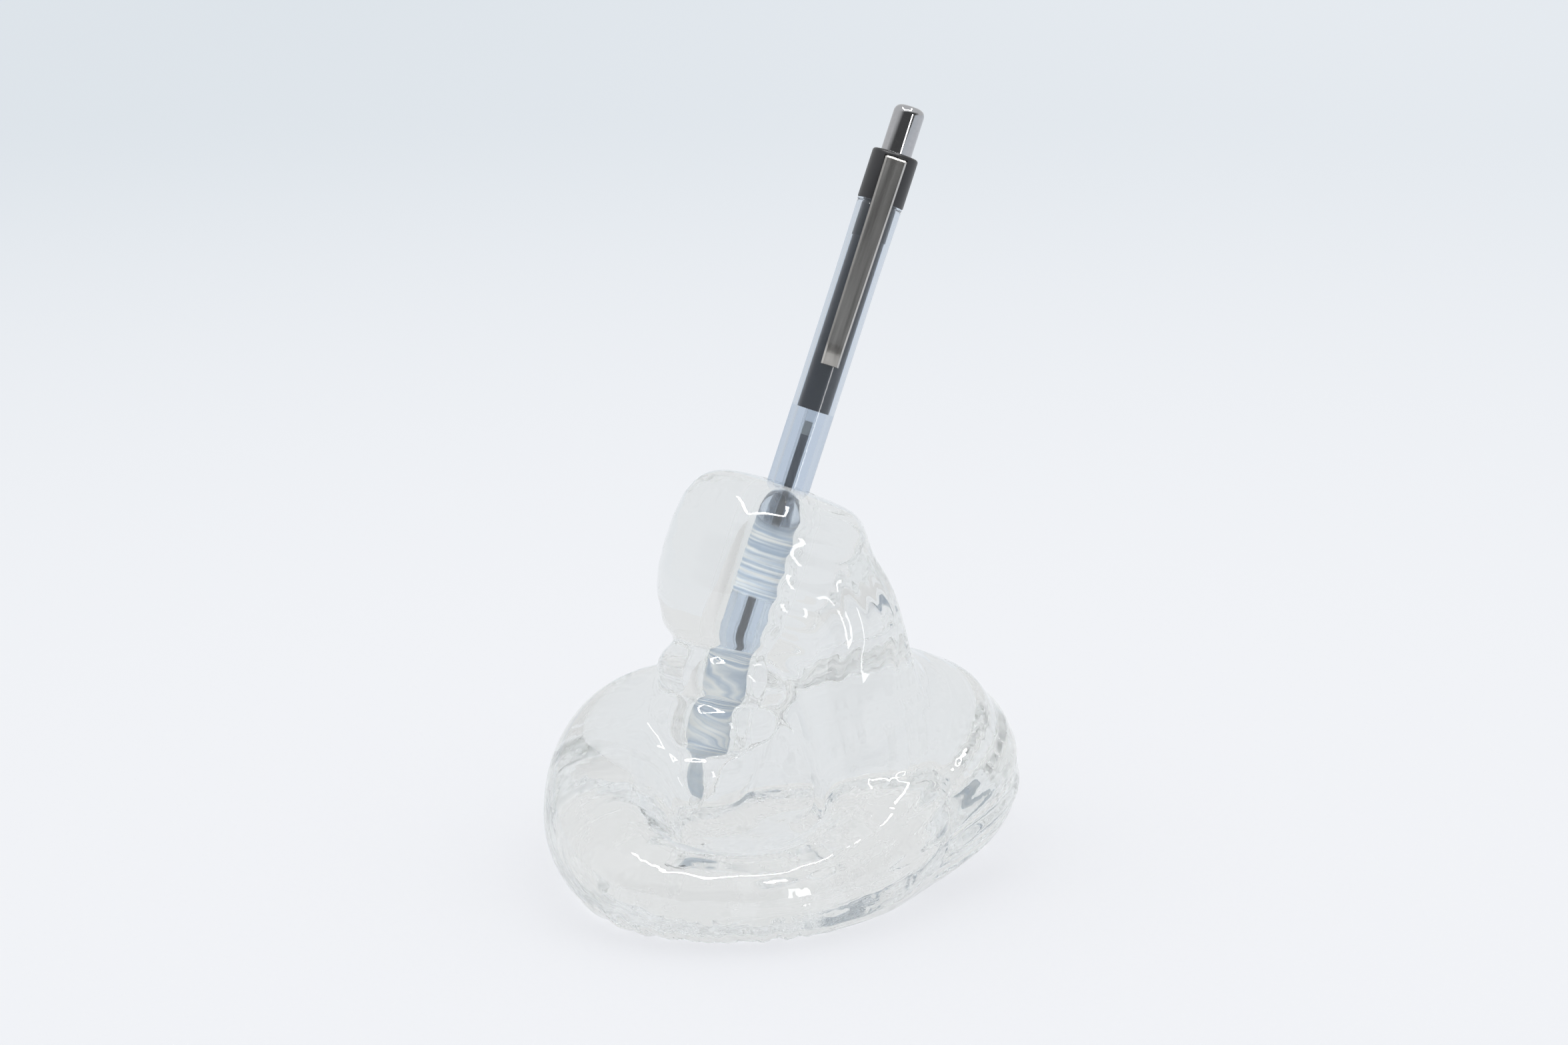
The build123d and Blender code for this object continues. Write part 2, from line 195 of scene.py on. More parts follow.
def tint_body(board, colour, density):
    """Colour that light takes on along its way through a clear piece."""
    sockets = {"Color": (*colour, 1.0), "Density": density}
    body = board.add("ShaderNodeVolumeAbsorption", None, sockets)
    board.tree.links.new(body.plug, board.tree.nodes["Material Output"].inputs["Volume"])


print("socket arithmetic ready")

# %% [markdown]
# The stage is a pale sheet that runs flat under the stand and well behind it, and turns up at its
# edge. A plane would do for the table, but clear glass is only as calm as what is seen through it.
# So the sheet glows a little by itself: a painted glow that lightens the stand's shadow, and through
# glass a flat painted glow with almost no shadow. Its colour is painted darker further back and
# lighter to the right, as painted shade where the tent's light falls off.

# %% Pale floor
floor_sides = 96
floor_profile = [
    (0.0, 0.0), (0.3, 0.0), (1.0, 0.0), (3.0, 0.0), (4.5, 0.02), (6.0, 0.12), (7.0, 0.3),
]
floor_points = [(0.0, 0.0, 0.0)]
for radius, height in floor_profile[1:]:
    for i in range(floor_sides):
        turn = 2 * pi * i / floor_sides
        floor_points.append((radius * cos(turn), radius * sin(turn), height))
floor_faces = [(0, 1 + i, 1 + (i + 1) % floor_sides) for i in range(floor_sides)]
for k in range(len(floor_profile) - 2):
    for i in range(floor_sides):
        a = 1 + k * floor_sides + i
        b = 1 + k * floor_sides + (i + 1) % floor_sides
        floor_faces.append((a, a + floor_sides, b + floor_sides, b))
floor_mesh = bpy.data.meshes.new("pale_floor")
floor_mesh.from_pydata(floor_points, [], floor_faces)
pale_floor = bpy.data.objects.new("pale_floor", floor_mesh)
scene.collection.objects.link(pale_floor)
paper, board, where, shader = new_finish("white_paper", Roughness=0.8, Specular_IOR_Level=0.0)
fibres = board.noise(where, 900.0, 3.0)
reach = board.add("ShaderNodeVectorMath", {"operation": "LENGTH"}, {0: where}, out="Value")
# Painted shade: the paper is darker further back and lighter to the right, where the tent's light
# falls off.
painted_light_rightward = board.ease(parts_of(board, where)[0], -0.7, 0.7)
near = board.blend(fibres, (0.905, 0.912, 0.942), (0.920, 0.925, 0.952))
far_painted_shade = board.blend(painted_light_rightward, (0.735, 0.780, 0.825), (0.790, 0.826, 0.868))
sheet = board.blend(board.ease(reach, -0.3, 1.6), near, far_painted_shade)
feed(board, shader, Base_Color=sheet)
through = board.add("ShaderNodeLightPath", out="Is Transmission Ray")
direct = board.add("ShaderNodeLightPath", out="Is Camera Ray")
sheet_in_glass = (0.765, 0.785, 0.805)
glow_in_glass = 0.96
glow_in_view = 0.55
glow = board.add("ShaderNodeEmission", None, {"Color": board.blend(through, sheet, sheet_in_glass)})
layered(board, shader, glow, glow_in_glass * through + glow_in_view * direct)
floor_mesh.materials.append(paper)
print("floor radius", floor_profile[-1][0], "m")

# %% [markdown]
# The room is a white light tent: an even glow from all sides. A picture of a room could stand in for
# it, but a tent is only a few sums of the direction. Through glass it looks like the paper, with a
# little less light from the sides. Mirrors show the dark opening in front, which gives chrome and
# clip their dark bands.

# %% Light tent
tent_tone = (0.985, 0.995, 1.0, 1.0)
loss_in_mirrors = 0.20
opening_depth = 0.70
loss_in_glass = 0.235
side_depth = 0.09
tent = bpy.data.worlds.new("light_tent")
scene.world = tent
tent.use_nodes = True
board = Board(tent.node_tree)
sky = board.add("ShaderNodeTexCoord", out="Generated")
east, north, up = parts_of(board, sky)
aside = east / 1.02
aloft = (up - 0.24) / 0.36
in_front = board.ease(0 - north, 0.0, 0.25)
opening = (1 - board.ease(aside * aside + aloft * aloft, 0.55, 1.25)) * in_front
wings = board.ease(east * east, 0.50, 0.95)
through = board.add("ShaderNodeLightPath", out="Is Transmission Ray")
mirrored = board.add("ShaderNodeLightPath", out="Is Glossy Ray") * (1 - through)
scattered = board.ease(board.add("ShaderNodeLightPath", out="Diffuse Depth"), 0.0, 1.0)
in_mirrors = loss_in_mirrors + opening_depth * opening
in_glass = (loss_in_glass + side_depth * wings) * (1 - scattered)
tent_level = 1.0 - in_mirrors * mirrored - in_glass * through
background = tent.node_tree.nodes["Background"]
background.inputs["Color"].default_value = tent_tone
board.tree.links.new(tent_level.plug, background.inputs["Strength"])
print("tent with", len(tent.node_tree.nodes), "nodes")

# %% [markdown]
# Glass shows what shines on it, so the lamps are made for their reflections. Three slim tubes hang
# over the stand as a frame that is open to the back, and draw the thin bracket of light on each turn.
# An upright strip to the right of the camera draws the bright line on the pen and the short dashes
# beside it. They light the shine and not the paper, whose level comes from the tent.

# %% Slim lamps
lamp_height = 0.62
lamp_front = -0.30
lamp_half_width = 0.22
lamp_back = 0.06
slim = 0.028
tube_radiance = 40.0
strip_width = 0.05
strip_height = 0.24
strip_radiance = 8.0


def slim_lamp(name, place, aim, width, length, radiance):
    """Flat lamp of a given radiance, its long side along its own Y."""
    lamp = bpy.data.lights.new(name, "AREA")
    lamp.shape = "RECTANGLE"
    lamp.size = width
    lamp.size_y = length
    lamp.energy = radiance * pi * width * length
    thing = bpy.data.objects.new(name, lamp)
    thing.location = place
    thing.rotation_euler = aim
    thing.visible_diffuse = False
    thing.visible_transmission = False
    scene.collection.objects.link(thing)


tube_place = (0, lamp_front, lamp_height)
slim_lamp("front_tube", tube_place, (0, 0, pi / 2), slim, 2 * lamp_half_width, tube_radiance)
for side in (-1, 1):
    tube_place = (side * lamp_half_width, (lamp_front + lamp_back) / 2, lamp_height)
    slim_lamp("side_tube", tube_place, (0, 0, 0), slim, lamp_back - lamp_front, tube_radiance)
strip_place = Vector((0.27, -0.42, 0.13))
strip_aim = (Vector((0, 0, 0.08)) - strip_place).to_track_quat("-Z", "Y").to_euler()
slim_lamp("side_strip", strip_place, strip_aim, strip_width, strip_height, strip_radiance)
bounces_in_glass = 90
scene.cycles.max_bounces = bounces_in_glass
scene.cycles.transmission_bounces = bounces_in_glass
scene.cycles.glossy_bounces = bounces_in_glass
scene.cycles.diffuse_bounces = 4
print("tubes", lamp_height, "m above the table")

# %% [markdown]
# Pen and bore lean together, so most pieces are drawn upright, along the pen's own axis from its
# nose. Each could be turned as an object, but then its mesh would keep a frame of its own. Here the
# points themselves are leant by one matrix. Turned pieces are lathed from a closed outline of radius
# and height.

# %% Leaning frame and lathe
lean_right = radians(18.2)
lean_back = radians(10.0)
nose_end = Vector((-18.8, 7.0, 16.0)) * mm
pen_up = Vector((tan(lean_right), tan(lean_back), 1)).normalized()
clip_out = (Vector((0, -1, 0)) + pen_up * pen_up.y).normalized()
pen_across = pen_up.cross(clip_out)
lean = Matrix((clip_out, pen_across, pen_up)).transposed().to_4x4()
lean.translation = nose_end


def along_pen(board, where):
    """Object coordinates in the pen's own frame: out to the clip, across, and up from the nose."""
    placed = {"Vector": where, "Location": tuple(nose_end), "Rotation": tuple(lean.to_euler())}
    return board.add("ShaderNodeMapping", {"vector_type": "TEXTURE"}, placed)


def new_mesh(name, points, faces):
    """Mesh from points in millimetres."""
    mesh = bpy.data.meshes.new(name)
    mesh.from_pydata([tuple(c * mm for c in p) for p in points], [], faces)
    mesh.update()
    return mesh


def shown(name, mesh):
    """Object in the scene that holds a mesh."""
    thing = bpy.data.objects.new(name, mesh)
    scene.collection.objects.link(thing)
    return thing


def smoothed(mesh, sharp):
    """The mesh, smooth but for edges sharper than an angle."""
    mesh.shade_smooth()
    mesh.set_sharp_from_angle(angle=radians(sharp))
    return mesh


def new_piece(name, points, faces, sharp=35):
    """Leaning object from upright points in millimetres."""
    mesh = new_mesh(name, points, faces)
    mesh.transform(lean)
    return shown(name, smoothed(mesh, sharp))


def lathe_points(outline, around):
    """Points and faces of a closed counter-clockwise outline of (radius, height), turned round."""
    points = []
    rows = []
    for radius, height in outline:
        if radius < 1e-6:
            rows.append([len(points)] * around)
            points.append((0.0, 0.0, height))
        else:
            rows.append(list(range(len(points), len(points) + around)))
            for i in range(around):
                turn = 2 * pi * i / around
                points.append((radius * cos(turn), radius * sin(turn), height))
    faces = []
    for k in range(len(rows)):
        low, high = rows[k], rows[(k + 1) % len(rows)]
        for i in range(around):
            j = (i + 1) % around
            ring = [low[i], low[j], high[j], high[i]]
            ring = [p for n, p in enumerate(ring) if p not in ring[:n]]
            if len(ring) > 2:
                faces.append(ring)
    return points, faces


def lathe(name, outline, around=96):
    """Leaning object turned from an outline."""
    return new_piece(name, *lathe_points(outline, around))


def eased_edge(corner, before, after, size, steps=4):
    """Points of a small rounding at a corner of an outline."""
    corner, before, after = (np.array(p, float) for p in (corner, before, after))
    start = corner + (before - corner) / np.linalg.norm(before - corner) * size
    end = corner + (after - corner) / np.linalg.norm(after - corner) * size
    spots = np.linspace(0, 1, steps + 1)
    return [tuple((1 - t) ** 2 * start + 2 * t * (1 - t) * corner + t**2 * end) for t in spots]


def softened(outline, sizes):
    """Outline with some of its corners rounded: sizes maps a corner's index to its rounding."""
    soft = []
    for i, corner in enumerate(outline):
        if i in sizes:
            soft += eased_edge(corner, outline[i - 1], outline[(i + 1) % len(outline)], sizes[i])
        else:
            soft.append(corner)
    return soft


print("pen leans", round(np.degrees(pen_up.angle(Vector((0, 0, 1)))), 1), "degrees")

# %% [markdown]
# The glass was drawn as a rope of soft glass. It was wound round a mandrel, let down the right side
# and laid round the foot. It could be sculpted, but then no size could be read off. A curve with a
# radius at each point is that rope, so Geometry Nodes sweep it: the curve is made smooth, cut into
# even steps and given a round section of its own radius.

# %% Ropes of glass
base_sink = 1.2
base_route = (
    (18.0, -17.0, 12.0), (3.0, -31.8, 9.4), (-14.0, -34.3, 9.1), (-29.0, -27.0, 10.6),
    (-34.4, -3.0, 14.3), (-26.5, 21.0, 18.8), (-5.0, 32.5, 17.5), (11.0, 33.0, 12.5),
)
lobe_route = (
    (-12.0, 30.0, 12.5), (6.0, 33.0, 18.0), (22.5, 26.5, 20.6),
    (30.0, 9.0, 19.3), (26.0, -5.0, 13.5), (17.0, -16.0, 9.0),
)
ramp_route = (
    (5.0, 13.0, 62.0, 11.0), (9.5, 10.0, 54.0, 13.5), (13.0, 7.5, 43.0, 13.5),
    (16.0, 3.5, 32.0, 13.5), (20.0, -3.0, 21.0, 13.5), (21.0, -9.0, 14.5, 9.5),
)
toe_route = ((19.0, 5.0, 28.0, 10.5), (24.0, -5.0, 17.0, 12.5))


def resting(route):
    return tuple((x, y, radius - base_sink, radius) for x, y, radius in route)


rope_routes = {
    "base_rope": toe_route + resting(base_route),
    "right_lobe": resting(lobe_route),
    "ramp": ramp_route,
}


def new_tree(name, inputs):
    """Geometry Nodes tree with named inputs: its board, its input sockets and their identifiers."""
    tree = bpy.data.node_groups.new(name, "GeometryNodeTree")
    tree.interface.new_socket("Geometry", in_out="OUTPUT", socket_type="NodeSocketGeometry")
    tree.interface.new_socket("Geometry", in_out="INPUT", socket_type="NodeSocketGeometry")
    keys = {}
    for label, kind in inputs:
        socket = tree.interface.new_socket(label, in_out="INPUT", socket_type="NodeSocket" + kind)
        keys[label] = socket.identifier
    board = Board(tree)
    entry = board.add("NodeGroupInput").plug.node
    plugs = {plug.name: Socket(board, plug) for plug in entry.outputs if plug.name}
    return tree, board, plugs, keys


def close_tree(board, shape, material):
    """End of a tree: real geometry, smooth, with its material."""
    shape = board.add("GeometryNodeRealizeInstances", None, {0: shape})
    shape = board.add("GeometryNodeSetShadeSmooth", None, {0: shape})
    shape = board.add("GeometryNodeSetMaterial", None, {0: shape, "Material": material})
    board.add("NodeGroupOutput", None, {0: shape})


def baked_object(blank):
    """Mesh of an object with its modifiers, the object itself removed."""
    graph = bpy.context.evaluated_depsgraph_get()
    mesh = bpy.data.meshes.new_from_object(blank.evaluated_get(graph))
    bpy.data.objects.remove(blank)
    return mesh


def baked(name, data, tree, keys, values):
    """Plain mesh of a tree run on some data with the given inputs."""
    carrier = shown(name + "_carrier", data)
    nodes = carrier.modifiers.new("shape", "NODES")
    nodes.node_group = tree
    for label, value in values.items():
        nodes[keys[label]] = value
    mesh = baked_object(carrier)
    mesh.name = name
    return mesh


rope_tree, board, plugs, rope_keys = new_tree(
    "rope_sweep",
    (("Sides", "Int"), ("Step", "Float"), ("Glass", "Material")),
)
smooth = {"spline_type": "CATMULL_ROM"}
line = board.add("GeometryNodeCurveSplineType", smooth, {"Curve": plugs["Geometry"]})
line = board.add("GeometryNodeSetSplineResolution", None, {"Geometry": line, "Resolution": 16})
even = {"Curve": line, "Length": plugs["Step"]}
line = board.add("GeometryNodeResampleCurve", {"mode": "LENGTH"}, even)
ring = {"Resolution": plugs["Sides"], "Radius": 1.0}
section = board.add("GeometryNodeCurvePrimitiveCircle", None, ring)
sweep = {0: line, 1: section, "Scale": board.add("GeometryNodeInputRadius"), "Fill Caps": True}
rope = board.add("GeometryNodeCurveToMesh", None, sweep)
close_tree(board, rope, plugs["Glass"])


def route_curve(name, route):
    """Curve through a route of centres, with the rope's radius at each."""
    data = bpy.data.curves.new(name, "CURVE")
    data.dimensions = "3D"
    spline = data.splines.new("POLY")
    spline.points.add(len(route) - 1)
    for point, (x, y, z, radius) in zip(spline.points, route):
        point.co = (x * mm, y * mm, z * mm, 1.0)
        point.radius = radius * mm
    return data


clear_glass, glass_board, glass_where, glass_shader = new_finish(
    "clear_glass", Roughness=0.0, IOR=1.5, Transmission_Weight=1.0
)
glass_shapes = []
for name, route in rope_routes.items():
    values = {"Sides": 48, "Step": 1.5 * mm, "Glass": clear_glass}
    glass_shapes.append(baked(name, route_curve(name, route), rope_tree, rope_keys, values))
    print(name, len(glass_shapes[-1].polygons), "faces")

# %% [markdown]
# The wound turns are a helix whose radius grows upwards. A Screw modifier gives an even helix, so a
# tree works this one out point by point: the index of each point gives its turn, and the turn gives
# angle, radius and height. The pen's return spring is the same rule with other numbers, so it uses
# the same tree.

# %% Wound turns
coil_tree, board, plugs, coil_keys = new_tree(
    "wound_turns",
    (
        ("Turns", "Float"), ("Steps per turn", "Int"), ("Rise per turn", "Float"),
        ("Start height", "Float"), ("Foot radius", "Float"), ("Top radius", "Float"),
        ("Flare", "Float"), ("Rope radius", "Float"), ("Sides", "Int"), ("Finish", "Material"),
    ),
)
count = plugs["Turns"] * plugs["Steps per turn"] + 1.5
row = board.add("GeometryNodeMeshLine", None, {"Count": count})
row = board.add("GeometryNodeMeshToCurve", None, {"Mesh": row})
turn = board.add("GeometryNodeInputIndex") / plugs["Steps per turn"]
rise = (turn / plugs["Turns"]) ** plugs["Flare"]
radius = plugs["Foot radius"] + (plugs["Top radius"] - plugs["Foot radius"]) * rise
angle = turn * (2 * pi)
height = plugs["Start height"] + plugs["Rise per turn"] * turn
place = {0: board.cosine(angle) * radius, 1: board.sine(angle) * radius, 2: height}
spot = board.add("ShaderNodeCombineXYZ", None, place)
row = board.add("GeometryNodeSetPosition", None, {"Geometry": row, "Position": spot})
ring = {"Resolution": plugs["Sides"], "Radius": plugs["Rope radius"]}
section = board.add("GeometryNodeCurvePrimitiveCircle", None, ring)
wound = board.add("GeometryNodeCurveToMesh", None, {0: row, 1: section, "Fill Caps": True})
close_tree(board, wound, plugs["Finish"])

coil_turn_height = 10.9
coil_values = {
    "Turns": 4.0, "Steps per turn": 48, "Rise per turn": coil_turn_height * mm,
    "Start height": -7.0 * mm, "Foot radius": 5.6 * mm, "Top radius": 12.6 * mm,
    "Flare": 1.6, "Rope radius": 5.25 * mm, "Sides": 32, "Finish": clear_glass,
}
coil = baked("coil", bpy.data.meshes.new("coil_seed"), coil_tree, coil_keys, coil_values)
coil.transform(lean)
glass_shapes.append(coil)
print("coil", len(coil.polygons), "faces")

# %% [markdown]
# The top of the neck is one wide band that was gathered over the last turn, and a shallow pool of
# glass fills the foot between the ropes. Both are round, so both are turned from an outline. The
# band's outline is a smooth line through a few measured rings.

# %% Neck band and pool
neck_rings = (
    (8.0, -11.0), (9.0, 10.0), (12.0, 30.6), (17.2, 33.2), (19.9, 38.0),
    (20.8, 46.0), (20.5, 55.0), (18.6, 61.0), (14.5, 64.4),
)


def eased_line(points, steps):
    """Smooth line through points of any size."""
    points = np.array(points, float)
    ends = np.vstack([points[:1], points, points[-1:]])
    fine = []
    for i in range(len(points) - 1):
        a, b, c, d = ends[i : i + 4]
        for t in np.arange(steps) / steps:
            bend = t**2 * (2 * a - 5 * b + 4 * c - d) / 2 + t**3 * (3 * b - a - 3 * c + d) / 2
            fine.append(b + t * (c - a) / 2 + bend)
    return np.array(fine + [points[-1]])


neck_outline = [(0.0, neck_rings[0][1])] + [tuple(p) for p in eased_line(neck_rings, 5)]
neck_outline += [(9.0, 65.2), (0.0, 65.4)]
neck = new_mesh("neck", *lathe_points(neck_outline, 96))
neck.transform(lean)
glass_shapes.append(neck)

pool_outline = [(0.0, -base_sink), (30.0, -base_sink), (30.0, 8.0), (26.0, 10.0), (0.0, 10.0)]
pool = new_mesh("pool", *lathe_points(pool_outline, 64))
glass_shapes.append(pool)
print("neck", len(neck.polygons), "faces, pool", len(pool.polygons), "faces")

# %% [markdown]
# Soft glass flows together where it touches. A boolean union would leave hard seams, so a voxel
# remesh melts the overlapping shapes into one skin. Swelling that skin, melting it again and
# shrinking it back fills every inner corner with a fillet, as surface tension does. The wound turns
# are added after that, so their grooves stay open.

# %% Melt the glass together
coarse_size = 1.1 * mm
melt_size = 0.72 * mm
fillet = 3.5 * mm


def melt_steps(blank, size):
    """Overlapping shapes become one skin of small cells."""
    melt = blank.modifiers.new("melt", "REMESH")
    melt.mode = "VOXEL"
    melt.voxel_size = size


def swell(blank, depth):
    """Every point moves out by a depth, or in where it is below zero."""
    grow = blank.modifiers.new("swell", "DISPLACE")
    grow.mid_level = 0.0
    grow.strength = depth


def ease_skin(blank, rounds):
    """The skin's small steps flow out."""
    flow = blank.modifiers.new("flow", "SMOOTH")
    flow.factor = 0.5
    flow.iterations = rounds


def joined(name, shapes):
    """One object that holds several meshes, still overlapping."""
    points = []
    faces = []
    for shape in shapes:
        first = len(points)
        points += [tuple(v.co) for v in shape.vertices]
        faces += [[first + i for i in face.vertices] for face in shape.polygons]
    mesh = bpy.data.meshes.new(name)
    mesh.from_pydata(points, [], faces)
    return shown(name, mesh)


def rows_of(mesh, field):
    """One vector for each point of a mesh, as the rows of an array."""
    numbers = np.empty(len(mesh.vertices) * 3, np.float32)
    mesh.vertices.foreach_get(field, numbers)
    return numbers.reshape(-1, 3)


blank = joined("rope_blank", [shape for shape in glass_shapes if shape is not coil])
melt_steps(blank, coarse_size)
swell(blank, fillet)
melt_steps(blank, coarse_size)
ease_skin(blank, 8)
swell(blank, -fillet)
ease_skin(blank, 14)
soft_ropes = baked_object(blank)
blank = joined("glass_blank", [soft_ropes, coil])
melt_steps(blank, melt_size)
ease_skin(blank, 40)
melted = baked_object(blank)
skin = rows_of(melted, "co").astype(float) / mm
print("melted glass", len(melted.polygons), "faces")

# %% [markdown]
# Each rope kept the marks of its drawing: long shallow folds that follow it, and on the foot a faint
# slant ripple where it was laid. A texture would not follow the ropes. So each point of the skin
# finds the nearest rope, its angle round it and its way along it, and moves in or out by waves of
# both. The folds are deepest on the right loop and on the ramp, and almost gone at the left.

# %% Flow lines along the ropes
outward = rows_of(melted, "normal").astype(float)
fold_depth = {"base_rope": 0.14, "right_lobe": 0.38, "ramp": 0.22}
ripple_depth = {"base_rope": 0.05}
ripple_length = 9.0
at_once = 20000
nearest = np.full(len(skin), np.inf)
fold = np.zeros(len(skin))
ripple = np.zeros(len(skin))
for name, route in rope_routes.items():
    line = eased_line(route, 12)
    centre, girth = line[:, :3], line[:, 3]
    heading = np.gradient(centre, axis=0)
    heading /= np.linalg.norm(heading, axis=1, keepdims=True)
    way = np.concatenate([[0], np.cumsum(np.linalg.norm(np.diff(centre, axis=0), axis=1))])
    side = np.cross((0, 0, 1), heading)
    side /= np.linalg.norm(side, axis=1, keepdims=True)
    top = np.cross(heading, side)
    for start in range(0, len(skin), at_once):
        part = slice(start, start + at_once)
        apart = skin[part, None, :] - centre[None]
        off = np.linalg.norm(apart, axis=2) - girth
        k = off.argmin(axis=1)
        rows = np.arange(len(k))
        arm = apart[rows, k]
        round_rope = np.arctan2((arm * top[k]).sum(1), (arm * side[k]).sum(1))
        along = way[k]
        waves = (
            0.6 * np.cos(12 * round_rope + 0.02 * along)
            + 0.4 * np.cos(20 * round_rope - 0.015 * along + 1.3)
        )
        sway = 1.1 * np.sin(along / 7.0)
        slanted = np.cos(2 * pi * along / ripple_length + 5 * round_rope + sway)
        closer = off[rows, k] < nearest[part]
        nearest[part] = np.where(closer, off[rows, k], nearest[part])
        fold[part] = np.where(closer, fold_depth[name] * waves, fold[part])
        ripple[part] = np.where(closer, ripple_depth.get(name, 0.0) * slanted, ripple[part])
from_nose = skin - np.array(nose_end) / mm
away = np.linalg.norm(np.cross(from_nose, np.array(pen_up)), axis=1)
up_pen = from_nose @ np.array(pen_up)


def ramp_up(value, start, end):
    """0 before start, 1 after end, smooth between."""
    t = np.clip((value - start) / (end - start), 0, 1)
    return t * t * (3 - 2 * t)


on_ropes = ramp_up(-nearest, -2.5, -0.5)
to_right = 0.25 + 0.75 * ramp_up(skin[:, 0], -20, 12)
on_neck = ramp_up(up_pen, 20, 30) * (1 - ramp_up(away, 20, 23))
facing = ramp_up(outward @ np.array((0.45, -0.75, 0.5)), 0.1, 0.6)
move = (fold * to_right + ripple) * on_ropes * facing * (1 - on_neck)
print("folds up to", round(float(np.abs(move).max()), 2), "mm deep")

# %% [markdown]
# The band has faint rings from the turning, deeper on a strip right of its middle. The lower left
# edge was pinched off with tongs and left scalloped, which is where the foot sparkles. Both could be
# bumps in the finish, but glass bends what is behind it by its true form, so the points move.

# %% Rings of the band and pinched edge
ring_length = 5.2
scallop_depth = 0.8
crumb_depth = 0.22
beside = from_nose @ np.array(pen_across) * np.sign(pen_across.x)
ring_depth = 0.04 + 0.20 * ramp_up(beside, 2, 7) * (1 - ramp_up(beside, 11, 15))
band_rings = ring_depth * np.cos(2 * pi * up_pen / ring_length)
move = move + band_rings * on_neck
bearing = np.degrees(np.arctan2(skin[:, 1], skin[:, 0]))
arc = np.radians(bearing) * 45
lower_left = ramp_up(bearing, -178, -160) * (1 - ramp_up(bearing, -95, -70))
pinched = lower_left * np.exp(-((skin[:, 2] / 4.2) ** 2))
scallop = 0.5 + 0.5 * np.cos(2 * pi * arc / 7.4 + 2.4 * np.sin(arc / 5.3))
crumbs = 0.5 + 0.5 * np.cos(2 * pi * arc / 3.1 + 2.9 * np.sin(arc / 3.7) + 0.8 * skin[:, 2])
uneven = 0.6 + 0.4 * np.sin(arc / 6.1)
move = move - pinched * (scallop_depth * scallop * uneven + crumb_depth * crumbs)
skin = skin + outward * move[:, None]
low_corner, high_corner = (np.array(c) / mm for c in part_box("glass_stand"))
skin[:, :2] = np.clip(skin[:, :2], low_corner[:2], high_corner[:2])
skin[:, 2] = np.minimum(skin[:, 2], high_corner[2])
melted.vertices.foreach_set("co", (skin * mm).astype(np.float32).ravel())
melted.update()
print("scallops on", int((pinched > 0.3).sum()), "points")

# %% [markdown]
# The mandrel left a smooth bore, and the bench left the underside uneven. Both could be pressed into
# the skin point by point, but a cut gives the bore a clean edge. One tool holds both: a rod along the
# pen, and a slab whose top is dimpled like the bench.

# %% Rod and bench
bore_radius = 5.8
seat_radius = 2.0
nose_length = 9.0
pit_depth = 4.5
rod_top = 90.0
heights = np.arange(0.0, rod_top, 1.5)
wall = np.interp(heights, [0, nose_length, rod_top], [seat_radius, bore_radius, bore_radius])
rod_outline = [(0.0, -pit_depth), (seat_radius, -pit_depth)] + list(zip(wall, heights))
rod_outline.append((0.0, rod_top))
rod_points, rod_faces = lathe_points(rod_outline, 64)
rod_points = [tuple(lean @ (Vector(p) * mm)) for p in rod_points]

slab_half = 60
slab_step = 1.2
slab_floor = -6 * mm
across = np.arange(-slab_half, slab_half + slab_step, slab_step)
gx, gy = np.meshgrid(across, across, indexing="ij")


def dimple(x, y, size, shift):
    """Even cells of a given size, warped so that no row shows."""
    u = x / size + 0.5 * np.sin(y / size * 0.9 + shift) + shift
    v = y / size + 0.5 * np.sin(x / size * 1.1 + 2 * shift)
    return (0.5 + 0.5 * np.cos(2 * pi * u)) * (0.5 + 0.5 * np.cos(2 * pi * v))


bench = 0.22 * dimple(gx, gy, 11.3, 0.4) + 0.10 * dimple(gx, gy, 6.7, 1.9)
bench = bench * (1 - ramp_up(np.hypot(gx, gy), 34, 44))
n = len(across)
slab_points = [(x * mm, y * mm, z * mm) for x, y, z in zip(gx.ravel(), gy.ravel(), bench.ravel())]
slab_faces = []
for i in range(n - 1):
    for j in range(n - 1):
        a = i * n + j
        slab_faces.append((a, a + n, a + n + 1, a + 1))
rim = [i * n for i in range(n)] + [(n - 1) * n + j for j in range(1, n)]
rim += [i * n + n - 1 for i in range(n - 2, -1, -1)] + [j for j in range(n - 2, 0, -1)]
first = len(slab_points)
slab_points += [(slab_points[i][0], slab_points[i][1], slab_floor) for i in rim]
for i in range(len(rim)):
    j = (i + 1) % len(rim)
    slab_faces.append((rim[i], first + i, first + j, rim[j]))
slab_faces.append([first + i for i in range(len(rim) - 1, -1, -1)])
shift = len(rod_points)
tool_faces = [list(f) for f in rod_faces] + [[shift + i for i in f] for f in slab_faces]
tool_mesh = bpy.data.meshes.new("bore_and_bench")
tool_mesh.from_pydata(rod_points + slab_points, [], tool_faces)
tool = shown("bore_and_bench", tool_mesh)
print("tool with", len(tool_faces), "faces")

# %% [markdown]
# The tool is now taken away from the glass with a Boolean modifier. The Manifold solver is quick on
# closed skins as fine as this one.


# %% Bore and foot
def cut_away(blank, tool, solver):
    """Bare mesh of an object less a tool, both objects removed."""
    cut = blank.modifiers.new("cut", "BOOLEAN")
    cut.operation = "DIFFERENCE"
    cut.solver = solver
    cut.object = tool
    mesh = baked_object(blank)
    bpy.data.objects.remove(tool)
    mesh.materials.clear()
    return mesh


cut_mesh = cut_away(shown("glass_work", melted), tool, "MANIFOLD")
cut_mesh.name = "glass_stand_blown"
cut_mesh.materials.append(clear_glass)
glass_piece = shown("glass_stand_blown", smoothed(cut_mesh, 55))
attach(glass_piece, "stand")
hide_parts("glass_stand")
glass_triangles = sum(len(face.vertices) - 2 for face in cut_mesh.polygons)
print("glass stand", glass_triangles, "triangles")

